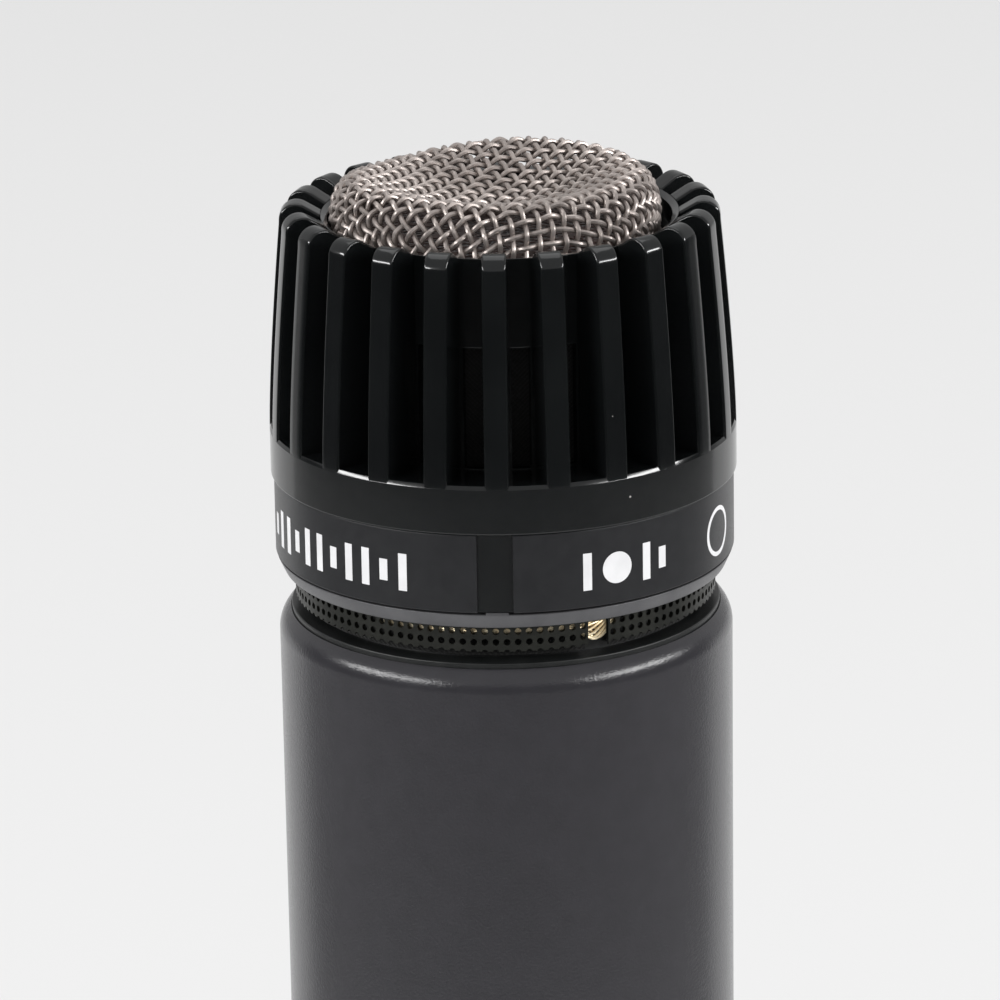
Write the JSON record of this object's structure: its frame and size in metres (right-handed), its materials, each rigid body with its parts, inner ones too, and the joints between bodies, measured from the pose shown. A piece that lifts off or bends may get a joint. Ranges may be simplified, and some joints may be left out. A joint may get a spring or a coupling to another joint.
{
  "type": "dynamic microphone",
  "caption": "Handheld dynamic microphone: tapered metal handle with a male connector, rubber-mounted moving-coil cartridge, turning ribbed head with a woven mesh front.",
  "frame": {"origin": "centre of the handle's open lower end, on the microphone's axis", "axes": "+Z along the microphone towards the mesh, -Y towards the front where the label strip's ends meet, +X to the right seen from the front"},
  "size_m": [0.032, 0.032, 0.157],
  "materials": {
    "handle_paint": "satin dark grey paint on die-cast metal",
    "insert": "moulded insulator",
    "contact_plating": "bright plated contacts",
    "screw_steel": "plain steel",
    "core_steel": "stacked laminations",
    "copper": "enamelled copper wire",
    "foam": "foam wrap",
    "lead_black": "insulated wire",
    "lead_red": "insulated wire",
    "lead_white": "insulated wire",
    "tin_plate": "tin-plated sheet",
    "rubber": "soft black rubber",
    "dark_moulding": "satin black moulding",
    "vent_metal": "blackened perforated sheet",
    "black_cloth": "fine woven acoustic cloth",
    "board": "brown laminate",
    "soft_iron": "machined",
    "magnet_alloy": "ground magnet alloy",
    "film": "thin film",
    "gloss_moulding": "gloss black moulding",
    "strip": "satin black strip with plain white marks",
    "lip_metal": "satin grey metal",
    "mesh_wire": "dull grey-brown woven wire",
    "filter_foam": "dark open foam"
  },
  "bodies": {
    "handle": {"handle": "handle_paint", "connector_insert": "insert", "contact_pin_1": "contact_plating", "contact_pin_2": "contact_plating", "contact_pin_3": "contact_plating", "connector_screw": "screw_steel", "transformer_core": "core_steel", "transformer_coil": "copper", "transformer_wrap": "foam", "output_lead_1": "lead_black", "output_lead_2": "lead_red", "output_lead_3": "lead_white", "input_lead_1": "lead_black", "input_lead_2": "lead_red", "mount_seat_ring": "tin_plate", "shock_mount": "rubber"},
    "cartridge": {"cartridge_collar": "dark_moulding", "snap_ring": "screw_steel", "vent_ring": "vent_metal", "vent_felt": "black_cloth", "coil_lead": "copper", "cartridge_housing": "dark_moulding", "terminal_board": "board", "yoke_cup": "soft_iron", "magnet": "magnet_alloy", "pole_piece": "soft_iron", "top_plate": "soft_iron", "air_chamber": "tin_plate", "chamber_grommet": "rubber"},
    "head": {"resonator_shell": "gloss_moulding", "label_strip": "strip", "base_lip_ring": "lip_metal", "wire_mesh_cap": "mesh_wire", "mesh_retaining_ring": "dark_moulding", "pop_filter": "filter_foam", "resonator_plate": "dark_moulding", "port_cloth": "black_cloth"},
    "diaphragm": {"diaphragm": "film", "voice_coil": "copper"}
  },
  "joints": [
    {"name": "cartridge_slide", "type": "slide", "parent": "handle", "child": "cartridge", "axis": [0, 0, 1], "range_m": [-0.0005, 0.0005], "stiffness_N_per_m": 3000, "springref_m": 0.00015, "deforming": ["shock_mount"]},
    {"name": "head_swivel", "type": "hinge", "parent": "cartridge", "child": "head", "pos_m": [0, 0, 0.1327], "axis": [0, 0, 1], "continuous": true},
    {"name": "diaphragm_slide", "type": "slide", "parent": "cartridge", "child": "diaphragm", "axis": [0, 0, 1], "range_m": [-0.0003, 0.0003], "stiffness_N_per_m": 60}
  ]
}
